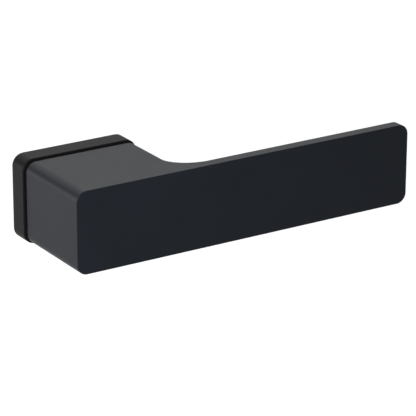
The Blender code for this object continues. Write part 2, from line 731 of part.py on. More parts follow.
def build_back_plate(material, parent):
    width = NECK_WIDTH - 2 * NECK_LIP - 2 * SEAT_GAP
    height = NECK_HEIGHT - 2 * NECK_LIP - 2 * SEAT_GAP
    radius = CORNER_RADIUS - NECK_LIP - SEAT_GAP
    plate = box(width, height, BACK_PLATE_BACK, BACK_PLATE_FRONT, radius)
    body = add("neck_back_plate", plate, material, parent)
    cut(body, cylinder(COLLAR_RADIUS + SEAT_GAP, REACH, BACK_PLATE_FRONT - REACH))
    for side in (-1, 1):
        place = (side * BACK_SCREW_SPACING / 2, BACK_PLATE_BACK, 0.0)
        hole = turned_over(csk_hole(SMALL_HEAD_RADIUS, SMALL_SHANK_RADIUS, REACH))
        cut(body, hole, place)
    shade(body)


def turned_over(mesh):
    """The same shape pointing along -Y."""
    for vert in mesh.verts:
        vert.co = Vector((-vert.co.x, -vert.co.y, vert.co.z))
    return mesh


def build_back_plate_screws(material, parent):
    sizes = (SMALL_HEAD_RADIUS, SMALL_SHANK_RADIUS, SMALL_SCREW_LENGTH, SMALL_SOCKET_RADIUS)
    place = (-BACK_SCREW_SPACING / 2, BACK_PLATE_BACK - HEAD_RECESS, 0.0)
    left = csk_screw("back_plate_screw_left", sizes, material, parent, place)
    for vert in left.data.vertices:
        vert.co = Vector((-vert.co.x, -vert.co.y, vert.co.z))
    copy_of("back_plate_screw_right", left, parent, (-place[0], place[1], 0.0))


def build_collar(material, parent):
    shade(add("lever_collar", ring(COLLAR_BORE, COLLAR_RADIUS, BUSH_BACK, COLLAR_FRONT), material, parent))


def build_washer(material, parent):
    middle = (BUSH_FLANGE_FRONT + BACK_PLATE_BACK) / 2
    half = WASHER_THICKNESS / 2
    mesh = ring(WASHER_INNER_RADIUS, WASHER_OUTER_RADIUS, middle + half, middle - half)
    rise = (BUSH_FLANGE_FRONT - BACK_PLATE_BACK) / 2 - SEAT_GAP - half
    for vert in mesh.verts:
        vert.co.y += rise * math.sin(WASHER_WAVES * math.atan2(vert.co.z, vert.co.x))
    shade(add("wave_washer", mesh, material, parent))


def build_spindle(material, parent):
    bar = box(SPINDLE_SIDE, SPINDLE_SIDE, SPINDLE_TAIL, SPINDLE_FRONT)
    ends = [edge for edge in bar.edges if not is_along_y(edge)]
    round_edges(bar, ends, SPINDLE_CHAMFER, 1)
    add("spindle", bar, material, parent)


def main():
    for old in list(bpy.data.objects):
        bpy.data.objects.remove(old)
    rose = bpy.data.objects.new("rose_frame", None)
    pivot = bpy.data.objects.new("lever_pivot", None)
    for empty in (rose, pivot):
        bpy.context.scene.collection.objects.link(empty)
    pivot.parent = rose

    coat = surface("black_coat", (0.012, 0.013, 0.015), 0.5, 0.0)
    black_plastic = surface("black_plastic", (0.010, 0.010, 0.011), 0.6, 0.0)
    pale_plastic = surface("pale_plastic", (0.62, 0.60, 0.55), 0.45, 0.0)
    zinc = surface("cast_zinc", (0.42, 0.43, 0.45), 0.5, 1.0)
    steel = surface("zinc_plated_steel", (0.56, 0.57, 0.58), 0.35, 1.0)
    dark_steel = surface("dark_steel", (0.10, 0.10, 0.11), 0.4, 1.0)
    spring_steel = surface("spring_steel", (0.35, 0.35, 0.37), 0.3, 1.0)

    build_base(zinc, rose)
    build_cover(coat, rose)
    build_cassette_plate(steel, rose)
    build_bush(pale_plastic, rose)
    build_cassette_screws(steel, rose)
    build_fixing_screws(steel, rose)
    build_clips(spring_steel, rose)
    build_spring(spring_steel, rose)
    build_rotor(steel, pivot)
    build_lever(coat, pivot)
    build_collar(steel, pivot)
    build_back_plate(black_plastic, pivot)
    build_back_plate_screws(dark_steel, pivot)
    build_set_screw(dark_steel, pivot)
    build_washer(spring_steel, pivot)
    build_spindle(steel, pivot)


if __name__ == "__main__":
    main()
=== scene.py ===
import math

import bmesh
import bpy
from mathutils import Matrix, Vector


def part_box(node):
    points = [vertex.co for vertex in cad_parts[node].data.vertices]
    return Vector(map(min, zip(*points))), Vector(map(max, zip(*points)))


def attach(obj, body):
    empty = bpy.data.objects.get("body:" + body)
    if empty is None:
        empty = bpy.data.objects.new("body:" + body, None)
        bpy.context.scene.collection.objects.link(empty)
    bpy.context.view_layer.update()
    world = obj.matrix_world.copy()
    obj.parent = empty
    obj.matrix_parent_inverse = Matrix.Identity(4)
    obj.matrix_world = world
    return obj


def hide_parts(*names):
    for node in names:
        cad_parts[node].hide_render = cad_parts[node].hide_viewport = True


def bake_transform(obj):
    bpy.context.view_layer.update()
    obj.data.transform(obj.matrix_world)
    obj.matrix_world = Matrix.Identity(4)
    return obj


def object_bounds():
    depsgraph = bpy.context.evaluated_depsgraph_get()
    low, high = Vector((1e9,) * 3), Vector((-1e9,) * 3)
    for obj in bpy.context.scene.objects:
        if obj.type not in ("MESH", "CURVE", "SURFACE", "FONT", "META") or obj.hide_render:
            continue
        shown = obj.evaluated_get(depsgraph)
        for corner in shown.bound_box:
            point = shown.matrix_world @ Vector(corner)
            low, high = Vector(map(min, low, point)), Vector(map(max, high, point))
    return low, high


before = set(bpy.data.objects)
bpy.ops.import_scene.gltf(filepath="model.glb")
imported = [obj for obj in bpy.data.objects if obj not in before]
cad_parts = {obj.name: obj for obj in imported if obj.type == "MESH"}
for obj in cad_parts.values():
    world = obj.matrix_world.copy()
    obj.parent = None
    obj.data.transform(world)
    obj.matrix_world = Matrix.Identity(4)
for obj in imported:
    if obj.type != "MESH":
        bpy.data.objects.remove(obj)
CAD_LOW, CAD_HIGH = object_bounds()

bl_info = {
    "name": "Door Lever Handle",
    "version": (1, 0, 0),
    "blender": (4, 5, 0),
    "location": "View3D > Sidebar > Handle",
    "description": "Models and finishes a sprung door lever on its rose",
    "category": "Object",
}

NECK_LOW, GRIP_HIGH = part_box("lever_body")
ROSE_LOW, ROSE_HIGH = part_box("rose_cover")
SPINDLE_LOW, SPINDLE_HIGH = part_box("spindle")
BUSH_LOW, BUSH_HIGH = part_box("bearing_bush")
SCREW_LOW, SCREW_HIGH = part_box("set_screw")

SMOOTH_ANGLE = math.radians(32.0)
BREAK_ANGLE = math.radians(40.0)
FLAT_ANGLE = math.radians(0.6)
MERGE_DISTANCE = 2e-6
NEAR = 1e-5
SQUARE_ON = 0.9  # the least share of a face's normal along the axis that it faces
CLEAR = 0.010  # how far a cutter runs past the face it opens
LEAST_SOFTNESS = 0.02
FLAT_WEIGHT = 50

# Steps round bevels and rods
ROD_SIDES = 96
CORNER_STEPS = 12
FILLET_STEPS = 20
ROSE_EDGE_STEPS = 6
FRONT_BEVEL_STEPS = 3
EDGE_BREAK_STEPS = 2

# Stage
FLOOR_SIZE = 24.0
SENSOR_WIDTH = 36.0
NEAREST_VIEW = 0.05
FARTHEST_VIEW = 50.0


# Sizes, colours and light


class HandleSizes(bpy.types.PropertyGroup):
    neck_width: bpy.props.FloatProperty(
        name="Neck width", description="Across the neck, along the lever", default=0.050, unit="LENGTH"
    )
    grip_thickness: bpy.props.FloatProperty(
        name="Grip thickness", description="Front to back through the grip", default=0.005, unit="LENGTH"
    )
    corner_radius: bpy.props.FloatProperty(
        name="Corner radius", description="Of the neck's and grip's corners", default=0.0043, unit="LENGTH"
    )
    inner_fillet: bpy.props.FloatProperty(
        name="Inner fillet", description="Where the neck turns into the grip", default=0.0125, unit="LENGTH"
    )
    front_bevel: bpy.props.FloatProperty(
        name="Front bevel", description="Round the grip's front face", default=0.0003, unit="LENGTH"
    )
    neck_core_inset: bpy.props.FloatProperty(
        name="Core inset", description="From the neck's skin to its core", default=0.0009, unit="LENGTH"
    )
    rose_corner_radius: bpy.props.FloatProperty(
        name="Rose corner radius", description="Of the cover's four corners", default=0.0048, unit="LENGTH"
    )
    rose_edge_radius: bpy.props.FloatProperty(
        name="Rose edge radius", description="Round the cover's front edge", default=0.0005, unit="LENGTH"
    )
    rose_wall: bpy.props.FloatProperty(
        name="Rose wall", description="Of the cover's sides and front", default=0.0016, unit="LENGTH"
    )
    bore_gap: bpy.props.FloatProperty(
        name="Bore gap", description="Between the cover's bore and the bush", default=0.0003, unit="LENGTH"
    )
    bush_flange: bpy.props.FloatProperty(
        name="Bush flange width", description="From the bush's tube to its rim", default=0.0023, unit="LENGTH"
    )
    set_screw_radius: bpy.props.FloatProperty(
        name="Set screw hole", description="Radius of the hole under the neck", default=0.00317, unit="LENGTH"
    )
    spindle_chamfer: bpy.props.FloatProperty(
        name="Spindle chamfer", description="At both ends of the spindle", default=0.0006, unit="LENGTH"
    )
    spring_wire: bpy.props.FloatProperty(
        name="Spring wire", description="Diameter of the return spring's wire", default=0.001, unit="LENGTH"
    )
    edge_break: bpy.props.FloatProperty(
        name="Edge break", description="How far small edges are softened", default=0.00012, unit="LENGTH"
    )


class HandleColours(bpy.types.PropertyGroup):
    coat: bpy.props.FloatVectorProperty(
        name="Lever coat",
        description="Matt black of the lever",
        default=(0.0042, 0.0058, 0.0088),
        subtype="COLOR",
        min=0.0,
        max=1.0,
    )
    # A darker copy of the lever's black: painted shade on the rose's side and in the gap before the neck
    rose_shaded_coat: bpy.props.FloatVectorProperty(
        name="Rose coat",
        description="Matt black of the rose's cover",
        default=(0.0041, 0.0040, 0.0040),
        subtype="COLOR",
        min=0.0,
        max=1.0,
    )
    coat_roughness: bpy.props.FloatProperty(
        name="Coat roughness", description="0 is glossy and 1 is dull", default=0.46, subtype="FACTOR"
    )
    back_plate: bpy.props.FloatVectorProperty(
        name="Back plate",
        description="Black plastic that closes the neck",
        default=(0.0090, 0.0090, 0.0095),
        subtype="COLOR",
        min=0.0,
        max=1.0,
    )
    bush: bpy.props.FloatVectorProperty(
        name="Bush",
        description="Pale plastic that the lever turns in",
        default=(0.60, 0.57, 0.50),
        subtype="COLOR",
        min=0.0,
        max=1.0,
    )
    casting: bpy.props.FloatVectorProperty(
        name="Casting",
        description="Bare zinc of the base",
        default=(0.36, 0.37, 0.39),
        subtype="COLOR",
        min=0.0,
        max=1.0,
    )
    plated: bpy.props.FloatVectorProperty(
        name="Plated steel",
        description="Zinc plate on the spindle, collar and screws",
        default=(0.55, 0.56, 0.58),
        subtype="COLOR",
        min=0.0,
        max=1.0,
    )
    blackened: bpy.props.FloatVectorProperty(
        name="Blackened steel",
        description="Oiled black of the set screw and the plate screws",
        default=(0.055, 0.055, 0.060),
        subtype="COLOR",
        min=0.0,
        max=1.0,
    )
    spring: bpy.props.FloatVectorProperty(
        name="Spring steel",
        description="The return spring, clips and washer",
        default=(0.30, 0.30, 0.32),
        subtype="COLOR",
        min=0.0,
        max=1.0,
    )
    floor: bpy.props.FloatVectorProperty(
        name="Floor", description="The stage's floor", default=(0.93, 0.93, 0.93), subtype="COLOR"
    )


class HandleStage(bpy.types.PropertyGroup):
    azimuth: bpy.props.FloatProperty(
        name="Azimuth", description="Camera's way round it", default=math.radians(-32.43), unit="ROTATION"
    )
    elevation: bpy.props.FloatProperty(
        name="Elevation", description="Camera's height over it", default=math.radians(20.464), unit="ROTATION"
    )
    roll: bpy.props.FloatProperty(
        name="Roll", description="Camera's turn about its view", default=math.radians(0.17), unit="ROTATION"
    )
    distance: bpy.props.FloatProperty(
        name="Distance", description="Camera to aim", default=1.0275, unit="LENGTH"
    )
    aim: bpy.props.FloatVectorProperty(
        name="Aim", description="Where the camera looks", default=(0.05338, -0.0189, -0.01433), subtype="XYZ"
    )
    lens: bpy.props.FloatProperty(
        name="Lens", description="Focal length in millimetres", default=219.087, unit="CAMERA"
    )
    floor_drop: bpy.props.FloatProperty(
        name="Floor drop", description="From the handle to the floor", default=0.30, unit="LENGTH"
    )
    top_light: bpy.props.FloatProperty(
        name="Top light", description="Power of the softbox overhead", default=4.0, unit="POWER"
    )
    back_light: bpy.props.FloatProperty(
        name="Back light", description="Power of the softbox behind", default=14.0, unit="POWER"
    )
    left_light: bpy.props.FloatProperty(
        name="Left light", description="Power of the softbox behind on the left", default=5.0, unit="POWER"
    )
    front_light: bpy.props.FloatProperty(
        name="Front light", description="Power of the small softbox in front", default=1.7, unit="POWER"
    )
    surroundings: bpy.props.FloatProperty(
        name="Surroundings", description="Brightness of the white room", default=0.53, subtype="FACTOR"
    )


# Shader building


class Wire:
    """A shader socket that takes part in sums: an expression on it adds the Math nodes it needs."""

    def __init__(self, finish, socket):
        self.finish = finish
        self.socket = socket

    def __add__(self, other):
        return self.finish.maths("ADD", self, other)

    def __radd__(self, other):
        return self.finish.maths("ADD", other, self)

    def __sub__(self, other):
        return self.finish.maths("SUBTRACT", self, other)

    def __rsub__(self, other):
        return self.finish.maths("SUBTRACT", other, self)

    def __mul__(self, other):
        return self.finish.maths("MULTIPLY", self, other)

    def __rmul__(self, other):
        return self.finish.maths("MULTIPLY", other, self)


class Finish:
    """A procedural material, built up from the handle's own object coordinates."""

    def __init__(self, name):
        self.material = bpy.data.materials.new(name)
        self.material.use_nodes = True
        self.tree = self.material.node_tree
        self.shader = self.tree.nodes["Principled BSDF"]
        self.place = self.node("ShaderNodeTexCoord", output="Object")

    def node(self, kind, settings=None, inputs=None, output=0):
        made = self.tree.nodes.new(kind)
        for key, value in (settings or {}).items():
            if key == "stops":
                for stop, (position, level) in zip(made.color_ramp.elements, value):
                    stop.position = position
                    stop.color = (level, level, level, 1.0)
            else:
                setattr(made, key, value)
        for key, value in (inputs or {}).items():
            self.feed(made.inputs[key], value)
        return Wire(self, made.outputs[output])

    def feed(self, socket, value):
        if isinstance(value, Wire):
            self.tree.links.new(value.socket, socket)
        else:
            socket.default_value = value

    def maths(self, operation, first, second):
        return self.node("ShaderNodeMath", {"operation": operation}, {0: first, 1: second})

    def noise(self, scale, detail=2.0, place=None):
        inputs = {"Vector": place or self.place, "Scale": scale, "Detail": detail}
        return self.node("ShaderNodeTexNoise", None, inputs, output="Fac")

    def spread(self, value, low, high):
        """The value's low to high range, stretched to run from 0 to 1."""
        return self.node("ShaderNodeValToRGB", {"stops": [(low, 0.0), (high, 1.0)]}, {"Fac": value})

    def stretched(self, x, y, z):
        return self.node("ShaderNodeMapping", None, {"Vector": self.place, "Scale": (x, y, z)})

    def shades(self, mask, dark, light):
        """Colours from dark to light as the mask goes from 0 to 1."""
        inputs = {"Factor": mask, 6: (*dark, 1.0), 7: (*light, 1.0)}
        return self.node("ShaderNodeMix", {"data_type": "RGBA"}, inputs, output=2)

    def relief(self, height, depth, strength=1.0):
        inputs = {"Height": height, "Distance": depth, "Strength": strength}
        self.surface(Normal=self.node("ShaderNodeBump", None, inputs, output="Normal"))

    def surface(self, **sockets):
        for name, value in sockets.items():
            self.feed(self.shader.inputs[name.replace("_", " ")], value)


def tinted(colour, share):
    return tuple(channel * share for channel in colour)


def sprayed(name, colour, roughness, sheen):
    """Fine sprayed grain over the coat's slow orange peel."""
    finish = Finish(name)
    grain = finish.noise(3200.0, 2.0)
    peel = finish.noise(520.0, 1.0)
    cloud = finish.noise(38.0, 2.0)
    mottle = finish.spread(grain * 0.55 + cloud * 0.45, 0.35, 0.65)
    finish.surface(
        Base_Color=finish.shades(mottle, tinted(colour, 0.86), tinted(colour, 1.16)),
        Roughness=roughness + (grain - 0.5) * 0.12 + (cloud - 0.5) * 0.06,
        Specular_IOR_Level=sheen,
    )
    finish.relief(grain * 0.4 + peel * 0.6, 0.00002, 0.5)
    return finish.material


def powder_coat(colours):
    return sprayed("lever powder coat", colours.coat, colours.coat_roughness, 0.12)


def rose_shaded_coat(colours):
    """A duller and more neutral black than the lever's, made darker to paint in the shade on the rose's side
    and in the gap in front of it.
    """
    return sprayed("rose powder coat with painted shade", colours.rose_shaded_coat, colours.coat_roughness, 0.05)


def black_plastic(colours):
    """Moulded plastic with a spark-eroded grain."""
    finish = Finish("black moulded plastic")
    grain = finish.noise(2600.0, 3.0)
    flow = finish.noise(90.0, 2.0, finish.stretched(1.0, 1.0, 0.35))
    finish.surface(
        Base_Color=finish.shades(grain, tinted(colours.back_plate, 0.7), tinted(colours.back_plate, 1.5)),
        Roughness=0.50 + (grain - 0.5) * 0.20 + (flow - 0.5) * 0.10,
        Specular_IOR_Level=0.35,
    )
    finish.relief(grain, 0.00003, 0.6)
    return finish.material


def pale_plastic(colours):
    """Smooth bearing plastic, a little clouded, with the mould's faint polish lines."""
    finish = Finish("pale bearing plastic")
    cloud = finish.noise(160.0, 3.0)
    polish = finish.noise(700.0, 2.0, finish.stretched(1.0, 9.0, 1.0))
    finish.surface(
        Base_Color=finish.shades(cloud, tinted(colours.bush, 0.90), tinted(colours.bush, 1.06)),
        Roughness=0.36 + (polish - 0.5) * 0.16,
    )
    finish.relief(polish, 0.00001, 0.4)
    return finish.material


def cast_zinc(colours):
    """Die-cast skin: chilled flow marks and a scatter of small pores."""
    finish = Finish("die cast zinc")
    flow = finish.noise(70.0, 4.0, finish.stretched(0.5, 1.0, 1.6))
    skin = finish.noise(1500.0, 3.0)
    pores = finish.spread(finish.noise(900.0, 1.0), 0.70, 0.78)
    tone = finish.spread(flow * 0.6 + skin * 0.4 - pores * 0.2, 0.35, 0.65)
    finish.surface(
        Base_Color=finish.shades(tone, tinted(colours.casting, 0.72), tinted(colours.casting, 1.15)),
        Metallic=1.0,
        Roughness=0.50 + (skin - 0.5) * 0.20 + pores * 0.15,
    )
    finish.relief(skin * 0.5 + flow * 0.5 - pores, 0.00004, 0.5)
    return finish.material


def plated_steel(colours):
    """Bright zinc plate with cloudy passivation over drawn or turned steel."""
    finish = Finish("zinc plated steel")
    drawn = finish.noise(1400.0, 2.0, finish.stretched(1.0, 0.06, 1.0))
    cloud = finish.noise(140.0, 3.0)
    warm = (colours.plated[0] * 0.98, colours.plated[1] * 0.95, colours.plated[2] * 0.86)
    cool = (colours.plated[0] * 1.02, colours.plated[1] * 1.06, colours.plated[2] * 1.12)
    finish.surface(
        Base_Color=finish.shades(finish.spread(cloud, 0.35, 0.65), warm, cool),
        Metallic=1.0,
        Roughness=0.28 + (drawn - 0.5) * 0.18 + (cloud - 0.5) * 0.12,
    )
    finish.relief(drawn, 0.00001, 0.6)
    return finish.material


def blackened_steel(colours):
    """Oiled black oxide, worn slightly paler in patches."""
    finish = Finish("blackened steel")
    patch = finish.noise(420.0, 3.0)
    grain = finish.noise(2400.0, 2.0)
    worn = finish.spread(patch, 0.55, 0.75)
    finish.surface(
        Base_Color=finish.shades(worn, tinted(colours.blackened, 0.8), tinted(colours.blackened, 1.9)),
        Metallic=0.9,
        Roughness=0.40 + (grain - 0.5) * 0.20 - worn * 0.08,
    )
    finish.relief(grain, 0.00001, 0.5)
    return finish.material


def spring_steel(colours):
    """Hard drawn wire and strip: grey, with a straw tint where it was stress relieved."""
    finish = Finish("spring steel")
    drawn = finish.noise(1900.0, 2.0, finish.stretched(1.0, 0.25, 1.0))
    heat = finish.spread(finish.noise(110.0, 2.0), 0.40, 0.65)
    straw = (colours.spring[0] * 1.10, colours.spring[1] * 0.96, colours.spring[2] * 0.74)
    finish.surface(
        Base_Color=finish.shades(heat, tuple(colours.spring), straw),
        Metallic=1.0,
        Roughness=0.30 + (drawn - 0.5) * 0.18,
    )
    finish.relief(drawn, 0.00001, 0.5)
    return finish.material


def floor_paint(colours):
    """An even pale floor with the faintest unevenness in its sheen."""
    finish = Finish("pale floor")
    cloud = finish.noise(3.0, 2.0)
    finish.surface(
        Base_Color=finish.shades(cloud, tinted(colours.floor, 0.995), tuple(colours.floor)),
        Roughness=0.9 + (cloud - 0.5) * 0.04,
        Specular_IOR_Level=0.1,
    )
    return finish.material


FINISHES = {
    "black_coat": powder_coat,
    "rose_shaded_coat": rose_shaded_coat,
    "black_plastic": black_plastic,
    "pale_plastic": pale_plastic,
    "cast_zinc": cast_zinc,
    "zinc_plated_steel": plated_steel,
    "dark_steel": blackened_steel,
    "spring_steel": spring_steel,
}


def finish_for(slot):
    """The slot's material, made when it is first asked for."""
    build = FINISHES[slot]
    key = f"finish_{slot}"
    if key not in bpy.context.scene:
        bpy.context.scene[key] = build(bpy.context.scene.handle_colours).name
    return bpy.data.materials[bpy.context.scene[key]]


# Modelling by hand


def only(piece):
    """Leave nothing selected but this piece."""
    bpy.ops.object.select_all(action="DESELECT")
    piece.select_set(True)
    bpy.context.view_layer.objects.active = piece


def block(name, low, high):
    """A cube set to its place and size, with its object left at the origin."""
    low = Vector(low)
    high = Vector(high)
    bpy.ops.object.select_all(action="DESELECT")
    bpy.ops.mesh.primitive_cube_add(size=1.0, location=(low + high) / 2, scale=high - low)
    piece = bpy.context.active_object
    piece.name = name
    bpy.ops.object.transform_apply(location=True, rotation=True, scale=True)
    return piece


def rod(name, radius, start, end):
    """A cylinder between two points, with its object left at the origin."""
    start = Vector(start)
    end = Vector(end)
    turn = (end - start).to_track_quat("Z", "Y").to_euler()
    bpy.ops.object.select_all(action="DESELECT")
    bpy.ops.mesh.primitive_cylinder_add(
        vertices=ROD_SIDES, radius=radius, depth=(end - start).length, location=(start + end) / 2, rotation=turn
    )
    piece = bpy.context.active_object
    piece.name = name
    bpy.ops.object.transform_apply(location=True, rotation=True, scale=True)
    return piece


def edit(piece):
    """Open the piece in edit mode with nothing selected."""
    only(piece)
    bpy.ops.object.mode_set(mode="EDIT")
    bpy.ops.mesh.select_mode(type="VERT")
    bpy.ops.mesh.select_all(action="DESELECT")


def leave_edit():
    bpy.ops.object.mode_set(mode="OBJECT")


def pick_edges(piece, wanted):
    bpy.ops.mesh.select_all(action="DESELECT")
    bpy.ops.mesh.select_mode(type="EDGE")
    mesh = bmesh.from_edit_mesh(piece.data)
    for edge in mesh.edges:
        edge.select_set(wanted(*(vert.co for vert in edge.verts)))
    mesh.select_flush_mode()
    bmesh.update_edit_mesh(piece.data)


def pick_faces(piece, wanted):
    bpy.ops.mesh.select_all(action="DESELECT")
    bpy.ops.mesh.select_mode(type="FACE")
    mesh = bmesh.from_edit_mesh(piece.data)
    for face in mesh.faces:
        face.select_set(wanted(face.calc_center_median(), face.normal))
    mesh.select_flush_mode()
    bmesh.update_edit_mesh(piece.data)


def near(first, second):
    return abs(first - second) < NEAR


def push(x=0.0, y=0.0, z=0.0):
    """Extrude what is selected."""
    bpy.ops.mesh.extrude_region_move(TRANSFORM_OT_translate={"value": (x, y, z)})


def soften(radius, segments):
    bpy.ops.mesh.bevel(
        offset_type="OFFSET",
        offset=radius,
        segments=segments,
        profile=0.5,
        affect="EDGES",
        clamp_overlap=False,
    )


def along_y(start, end):
    return near(start.x, end.x) and near(start.z, end.z) and not near(start.y, end.y)


def at_depth(y):
    return lambda start, end: near(start.y, y) and near(end.y, y)


def take_away(piece, cutter):
    """Cut one solid from another and throw the cutter away."""
    step = piece.modifiers.new("Cut", "BOOLEAN")
    step.operation = "DIFFERENCE"
    step.solver = "EXACT"
    step.object = cutter
    only(piece)
    bpy.ops.object.modifier_apply(modifier=step.name)
    bpy.data.objects.remove(cutter)


def merged_copy(node, name):
    """A copy of a CAD node's loose triangles, merged into one closed skin."""
    piece = bpy.data.objects.new(name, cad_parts[node].data.copy())
    bpy.context.scene.collection.objects.link(piece)
    edit(piece)
    bpy.ops.mesh.select_all(action="SELECT")
    bpy.ops.mesh.customdata_custom_splitnormals_clear()
    bpy.ops.mesh.remove_doubles(threshold=MERGE_DISTANCE)
    leave_edit()
    return piece


def whole_flats(piece):
    edit(piece)
    bpy.ops.mesh.select_all(action="SELECT")
    bpy.ops.mesh.dissolve_limited(angle_limit=FLAT_ANGLE)
    leave_edit()


def break_edges(piece, width):
    """Soften every sharp edge a little, as tumbling, plating or paint does."""
    step = piece.modifiers.new("Edge break", "BEVEL")
    step.limit_method = "ANGLE"
    step.angle_limit = BREAK_ANGLE
    step.offset_type = "OFFSET"
    step.width = width
    step.segments = EDGE_BREAK_STEPS
    step.use_clamp_overlap = False
    only(piece)
    bpy.ops.object.modifier_apply(modifier=step.name)


def smooth(piece):
    """Round shapes shade as round, and flats stay flat."""
    only(piece)
    bpy.ops.object.shade_smooth_by_angle(angle=SMOOTH_ANGLE)
    step = piece.modifiers.new("Flat shading kept", "WEIGHTED_NORMAL")
    step.keep_sharp = True
    step.weight = FLAT_WEIGHT
    bpy.ops.object.modifier_apply(modifier=step.name)


def hand_over(piece, node, body, slot, finish=None):
    """The piece takes its finish, stands for the CAD node and rides on its body."""
    piece.data.materials.clear()
    piece.data.materials.append(finish_for(finish or slot))
    for face in piece.data.polygons:
        face.material_index = 0
    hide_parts(node)
    if body:
        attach(piece, body)


def refine(node, name, body, slot, width):
    """A CAD solid's own shape, with softened edges and its finish."""
    piece = merged_copy(node, name)
    whole_flats(piece)
    if width:
        break_edges(piece, width)
    smooth(piece)
    hand_over(piece, node, body, slot)
    return piece


# Lever


def lever_softness(start, end, sizes):
    """The share of the corner radius that a long edge gets. It fades out round the inner fillet."""
    if not near(start.z, end.z):
        return 0.0
    half = sizes.neck_width / 2
    grip_back = NECK_LOW.y + sizes.grip_thickness
    middle = (start + end) / 2
    if along_y(start, end) and (near(middle.x, -half) or near(middle.x, half) or near(middle.x, GRIP_HIGH.x)):
        return 1.0
    across = half + sizes.inner_fillet - middle.x
    along = grip_back + sizes.inner_fillet - middle.y
    if middle.x < half + NEAR or along < NEAR or across < NEAR:
        return 0.0
    share = math.atan2(along, across) / (math.pi / 2)
    return max(LEAST_SOFTNESS, 1.0 - share * share * (3 - 2 * share))


def round_long_edges(piece, sizes):
    weights = piece.data.attributes.new("bevel_weight_edge", "FLOAT", "EDGE")
    points = piece.data.vertices
    for edge in piece.data.edges:
        start, end = (points[index].co for index in edge.vertices)
        weights.data[edge.index].value = lever_softness(start, end, sizes)
    step = piece.modifiers.new("Long edges", "BEVEL")
    step.limit_method = "WEIGHT"
    step.offset_type = "OFFSET"
    step.width = sizes.corner_radius
    step.segments = CORNER_STEPS
    step.use_clamp_overlap = False
    only(piece)
    bpy.ops.object.modifier_apply(modifier=step.name)


def neck_core(sizes):
    """The air inside the neck: a core that stands just inside its skin, less the solid that it holds."""
    inset = sizes.neck_core_inset
    half = sizes.neck_width / 2 - inset
    core = block(
        "neck_core",
        (-half, NECK_LOW.y + 2 * inset, NECK_LOW.z + inset),
        (half, GRIP_HIGH.y + CLEAR, GRIP_HIGH.z - inset),
    )
    take_away(core, merged_copy("lever_body", "lever_solid"))
    return core


class HANDLE_OT_lever(bpy.types.Operator):
    """Model the lever: a hollow neck that turns into a flat grip"""

    bl_idname = "handle.lever"
    bl_label = "Lever"

    def execute(self, context):
        sizes = context.scene.handle_sizes
        half = sizes.neck_width / 2
        grip_back = NECK_LOW.y + sizes.grip_thickness
        piece = block("lever", NECK_LOW, (half, GRIP_HIGH.y, GRIP_HIGH.z))
        edit(piece)
        bpy.ops.mesh.select_all(action="SELECT")
        bpy.ops.mesh.bisect(plane_co=(0.0, grip_back, 0.0), plane_no=(0.0, 1.0, 0.0))
        pick_faces(piece, lambda centre, normal: normal.x > SQUARE_ON and centre.y < grip_back)
        push(x=GRIP_HIGH.x - half)
        bpy.ops.mesh.select_all(action="SELECT")
        bpy.ops.mesh.dissolve_limited(angle_limit=FLAT_ANGLE)
        pick_edges(
            piece,
            lambda start, end: near(start.x, half)
            and near(end.x, half)
            and near(start.y, grip_back)
            and near(end.y, grip_back)
            and not near(start.z, end.z),
        )
        soften(sizes.inner_fillet, FILLET_STEPS)
        leave_edit()
        round_long_edges(piece, sizes)
        edit(piece)
        pick_edges(piece, at_depth(NECK_LOW.y))
        soften(sizes.front_bevel, FRONT_BEVEL_STEPS)
        pick_edges(piece, at_depth(GRIP_HIGH.y))
        soften(sizes.edge_break, EDGE_BREAK_STEPS)
        bpy.ops.mesh.select_all(action="SELECT")
        bpy.ops.mesh.normals_make_consistent(inside=False)
        leave_edit()
        take_away(piece, neck_core(sizes))
        centre = (SCREW_LOW + SCREW_HIGH) / 2
        hole_top = Vector((centre.x, centre.y, SCREW_HIGH.z - sizes.set_screw_radius))
        hole_foot = Vector((centre.x, centre.y, NECK_LOW.z - CLEAR))
        take_away(piece, rod("set_screw_hole", sizes.set_screw_radius, hole_foot, hole_top))
        smooth(piece)
        hand_over(piece, "lever_body", "lever", "black_coat")
        return {"FINISHED"}


# Rose


class HANDLE_OT_rose_cover(bpy.types.Operator):
    """Model the rose's cover: a shallow box, open at the back, with a bore for the bush"""

    bl_idname = "handle.rose_cover"
    bl_label = "Rose cover"

    def execute(self, context):
        sizes = context.scene.handle_sizes
        piece = block("rose_shell", ROSE_LOW, ROSE_HIGH)
        edit(piece)
        pick_edges(piece, along_y)
        soften(sizes.rose_corner_radius, CORNER_STEPS)
        pick_edges(piece, at_depth(ROSE_LOW.y))
        soften(sizes.rose_edge_radius, ROSE_EDGE_STEPS)
        pick_faces(piece, lambda centre, normal: normal.y > SQUARE_ON)
        bpy.ops.mesh.inset(thickness=sizes.rose_wall, use_even_offset=True)
        push(y=ROSE_LOW.y + sizes.rose_wall - ROSE_HIGH.y)
        pick_edges(piece, at_depth(ROSE_HIGH.y))
        soften(sizes.edge_break, EDGE_BREAK_STEPS)
        bpy.ops.mesh.select_all(action="SELECT")
        bpy.ops.mesh.normals_make_consistent(inside=False)
        leave_edit()
        bore = BUSH_HIGH.x - sizes.bush_flange + sizes.bore_gap
        take_away(piece, rod("bore", bore, (0.0, ROSE_LOW.y - CLEAR, 0.0), (0.0, 0.0, 0.0)))
        smooth(piece)
        hand_over(piece, "rose_cover", "rose", "black_coat", "rose_shaded_coat")
        return {"FINISHED"}


class HANDLE_OT_base(bpy.types.Operator):
    """Finish the cast base, the plate that closes its spring pocket and the clips in its edges"""

    bl_idname = "handle.base"
    bl_label = "Base and clips"

    def execute(self, context):
        width = context.scene.handle_sizes.edge_break
        refine("mounting_base", "cast_base", "rose", "cast_zinc", width)
        refine("cassette_plate", "pocket_plate", "rose", "zinc_plated_steel", width / 2)
        for side in ("top", "bottom"):
            refine(f"cover_clip_{side}", f"clip_{side}", "rose", "spring_steel", width / 4)
        return {"FINISHED"}


